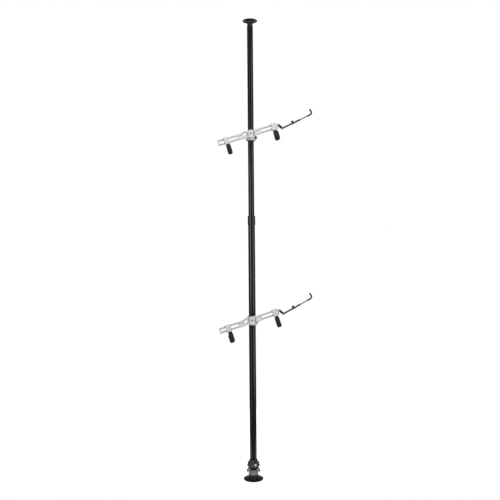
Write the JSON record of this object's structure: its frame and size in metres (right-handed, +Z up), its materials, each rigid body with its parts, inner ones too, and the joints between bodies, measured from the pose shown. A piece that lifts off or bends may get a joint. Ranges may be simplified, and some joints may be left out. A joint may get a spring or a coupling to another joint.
{
  "type": "bike storage tower",
  "caption": "Floor-to-ceiling sprung telescoping pole with a foot pedal and clamp-on tilting mounts that carry rubber hooks and a steering stabiliser arm.",
  "frame": {"origin": "on the floor under the pole's axis, at the middle of the rubber foot's underside", "axes": "+Z up along the pole, -Y towards the hooks and the viewer, +X to the stabiliser arms' side"},
  "size_m": [0.5935, 0.1735, 2.885],
  "materials": {
    "rubber": "matt moulded rubber",
    "cast_silver": "satin cast and painted silver",
    "black_paint": "black powder coat",
    "gloss_black": "gloss black paint",
    "black_cast": "satin black paint",
    "black_plastic": "matt moulded plastic",
    "dark_plastic": "semi-gloss moulded plastic",
    "steel": "zinc-plated",
    "bright_rod": "smooth ground"
  },
  "bodies": {
    "foot": {"foot_pad": "rubber", "foot_socket": "cast_silver", "axle_bracket": "black_paint", "pedal_axle": "steel"},
    "lower_pole": {"lower_tube": "gloss_black", "lift_collar": "black_paint", "guide_bush": "black_plastic", "height_collar": "gloss_black"},
    "pedal": {"pedal_lever": "black_paint", "treadle": "dark_plastic"},
    "height_knob": {"height_knob": "black_plastic"},
    "upper_pole": {"upper_tube": "gloss_black", "slide_shoe": "black_plastic", "ceiling_spring": "steel"},
    "ceiling_foot": {"ceiling_foot": "black_cast", "ceiling_pad": "rubber"},
    "upper_slider": {"upper_liner": "black_plastic"},
    "upper_clamp": {"upper_clamp_body": "cast_silver", "upper_clamp_bolts": "steel", "upper_pivot_block": "cast_silver"},
    "upper_lever": {"upper_clamp_lever": "black_plastic"},
    "upper_arm": {"upper_arm_casting": "cast_silver", "upper_rods": "bright_rod", "upper_rod_ends": "cast_silver"},
    "upper_left_hook": {"upper_left_bracket": "cast_silver", "upper_left_bushes": "black_plastic", "upper_left_hook_pad": "rubber"},
    "upper_left_knob": {"upper_left_lock_knob": "black_plastic"},
    "upper_right_hook": {"upper_right_bracket": "cast_silver", "upper_right_bushes": "black_plastic", "upper_right_hook_pad": "rubber"},
    "upper_right_knob": {"upper_right_lock_knob": "black_plastic"},
    "upper_link": {"upper_stabiliser_link": "black_paint", "upper_link_pins": "steel"},
    "upper_stabiliser": {"upper_stabiliser_tube": "black_paint"},
    "upper_stabiliser_knob": {"upper_stabiliser_knob": "black_plastic"},
    "upper_stabiliser_rod": {"upper_stabiliser_rod": "black_paint", "upper_stabiliser_grip": "rubber"},
    "lower_slider": {"lower_liner": "black_plastic"},
    "lower_clamp": {"lower_clamp_body": "cast_silver", "lower_clamp_bolts": "steel", "lower_pivot_block": "cast_silver"},
    "lower_lever": {"lower_clamp_lever": "black_plastic"},
    "lower_arm": {"lower_arm_casting": "cast_silver", "lower_rods": "bright_rod", "lower_rod_ends": "cast_silver"},
    "lower_left_hook": {"lower_left_bracket": "cast_silver", "lower_left_bushes": "black_plastic", "lower_left_hook_pad": "rubber"},
    "lower_left_knob": {"lower_left_lock_knob": "black_plastic"},
    "lower_right_hook": {"lower_right_bracket": "cast_silver", "lower_right_bushes": "black_plastic", "lower_right_hook_pad": "rubber"},
    "lower_right_knob": {"lower_right_lock_knob": "black_plastic"},
    "lower_link": {"lower_stabiliser_link": "black_paint", "lower_link_pins": "steel"},
    "lower_stabiliser": {"lower_stabiliser_tube": "black_paint"},
    "lower_stabiliser_knob": {"lower_stabiliser_knob": "black_plastic"},
    "lower_stabiliser_rod": {"lower_stabiliser_rod": "black_paint", "lower_stabiliser_grip": "rubber"}
  },
  "joints": [
    {"name": "pole_lift", "type": "slide", "parent": "foot", "child": "lower_pole", "axis": [0, 0, 1], "range_m": [-0.007, 0]},
    {"name": "pedal_swing", "type": "hinge", "parent": "foot", "child": "pedal", "pos_m": [0, -0.034, 0.0705], "axis": [1, 0, 0], "range_deg": [0, 80]},
    {"name": "height_slide", "type": "slide", "parent": "lower_pole", "child": "upper_pole", "axis": [0, 0, 1], "range_m": [-0.25, 0.3]},
    {"name": "height_knob_turn", "type": "hinge", "parent": "lower_pole", "child": "height_knob", "pos_m": [0, 0.04, 1.64], "axis": [0, 1, 0], "continuous": true},
    {"name": "ceiling_spring_slide", "type": "slide", "parent": "upper_pole", "child": "ceiling_foot", "axis": [0, 0, 1], "range_m": [-0.0175, 0], "stiffness_N_per_m": 12000, "springref_m": 0.002, "deforming": ["ceiling_spring"]},
    {"name": "upper_mount_slide", "type": "slide", "parent": "upper_pole", "child": "upper_slider", "axis": [0, 0, 1], "range_m": [-0.1, 0.4]},
    {"name": "upper_mount_turn", "type": "hinge", "parent": "upper_slider", "child": "upper_clamp", "pos_m": [0, 0, 2.1645], "axis": [0, 0, 1], "continuous": true},
    {"name": "upper_lever_swing", "type": "hinge", "parent": "upper_clamp", "child": "upper_lever", "pos_m": [0.02, 0.041, 2.1475], "axis": [0, 0, 1], "range_deg": [0, 150]},
    {"name": "upper_arm_tilt", "type": "hinge", "parent": "upper_clamp", "child": "upper_arm", "pos_m": [0, -0.049, 2.1645], "axis": [0, -1, 0], "range_deg": [-42, 10]},
    {"name": "upper_left_hook_slide", "type": "slide", "parent": "upper_arm", "child": "upper_left_hook", "axis": [0.9613, 0, 0.2756], "range_m": [-0.03, 0.045]},
    {"name": "upper_left_knob_turn", "type": "hinge", "parent": "upper_left_hook", "child": "upper_left_knob", "pos_m": [-0.149, -0.04, 2.12178], "axis": [0, 1, 0], "continuous": true},
    {"name": "upper_right_hook_slide", "type": "slide", "parent": "upper_arm", "child": "upper_right_hook", "axis": [0.9613, 0, 0.2756], "range_m": [-0.06, 0]},
    {"name": "upper_right_knob_turn", "type": "hinge", "parent": "upper_right_hook", "child": "upper_right_knob", "pos_m": [0.14323, -0.04, 2.20557], "axis": [0, 1, 0], "continuous": true},
    {"name": "upper_link_swing", "type": "hinge", "parent": "upper_arm", "child": "upper_link", "pos_m": [0.17172, -0.051, 2.21686], "axis": [0, -1, 0], "range_deg": [-25, 45]},
    {"name": "upper_stabiliser_swing", "type": "hinge", "parent": "upper_link", "child": "upper_stabiliser", "pos_m": [0.19694, -0.051, 2.19716], "axis": [0, -1, 0], "range_deg": [-40, 30]},
    {"name": "upper_stabiliser_knob_turn", "type": "hinge", "parent": "upper_stabiliser", "child": "upper_stabiliser_knob", "pos_m": [0.26282, -0.051, 2.22859], "axis": [-0.4305, 0, 0.9026], "continuous": true},
    {"name": "upper_stabiliser_reach", "type": "slide", "parent": "upper_stabiliser", "child": "upper_stabiliser_rod", "axis": [0.9026, 0, 0.4305], "range_m": [-0.01, 0.035]},
    {"name": "lower_mount_slide", "type": "slide", "parent": "lower_pole", "child": "lower_slider", "axis": [0, 0, 1], "range_m": [-0.35, 0.2]},
    {"name": "lower_mount_turn", "type": "hinge", "parent": "lower_slider", "child": "lower_clamp", "pos_m": [0, 0, 1.006], "axis": [0, 0, 1], "continuous": true},
    {"name": "lower_lever_swing", "type": "hinge", "parent": "lower_clamp", "child": "lower_lever", "pos_m": [0.02, 0.041, 0.989], "axis": [0, 0, 1], "range_deg": [0, 150]},
    {"name": "lower_arm_tilt", "type": "hinge", "parent": "lower_clamp", "child": "lower_arm", "pos_m": [0, -0.049, 1.006], "axis": [0, -1, 0], "range_deg": [-44, 8]},
    {"name": "lower_left_hook_slide", "type": "slide", "parent": "lower_arm", "child": "lower_left_hook", "axis": [0.9511, 0, 0.309], "range_m": [-0.03, 0.045]},
    {"name": "lower_left_knob_turn", "type": "hinge", "parent": "lower_left_hook", "child": "lower_left_knob", "pos_m": [-0.14741, -0.04, 0.9581], "axis": [0, 1, 0], "continuous": true},
    {"name": "lower_right_hook_slide", "type": "slide", "parent": "lower_arm", "child": "lower_right_hook", "axis": [0.9511, 0, 0.309], "range_m": [-0.06, 0]},
    {"name": "lower_right_knob_turn", "type": "hinge", "parent": "lower_right_hook", "child": "lower_right_knob", "pos_m": [0.14171, -0.04, 1.05204], "axis": [0, 1, 0], "continuous": true},
    {"name": "lower_link_swing", "type": "hinge", "parent": "lower_arm", "child": "lower_link", "pos_m": [0.16979, -0.051, 1.06432], "axis": [0, -1, 0], "range_deg": [-25, 45]},
    {"name": "lower_stabiliser_swing", "type": "hinge", "parent": "lower_link", "child": "lower_stabiliser", "pos_m": [0.19412, -0.051, 1.04354], "axis": [0, -1, 0], "range_deg": [-40, 30]},
    {"name": "lower_stabiliser_knob_turn", "type": "hinge", "parent": "lower_stabiliser", "child": "lower_stabiliser_knob", "pos_m": [0.25809, -0.051, 1.07871], "axis": [-0.4818, 0, 0.8763], "continuous": true},
    {"name": "lower_stabiliser_reach", "type": "slide", "parent": "lower_stabiliser", "child": "lower_stabiliser_rod", "axis": [0.8763, 0, 0.4818], "range_m": [-0.01, 0.035]}
  ],
  "couplings": [
    {"joint": "pedal_swing", "follows": "pole_lift", "rad_per_m": -199.47}
  ]
}
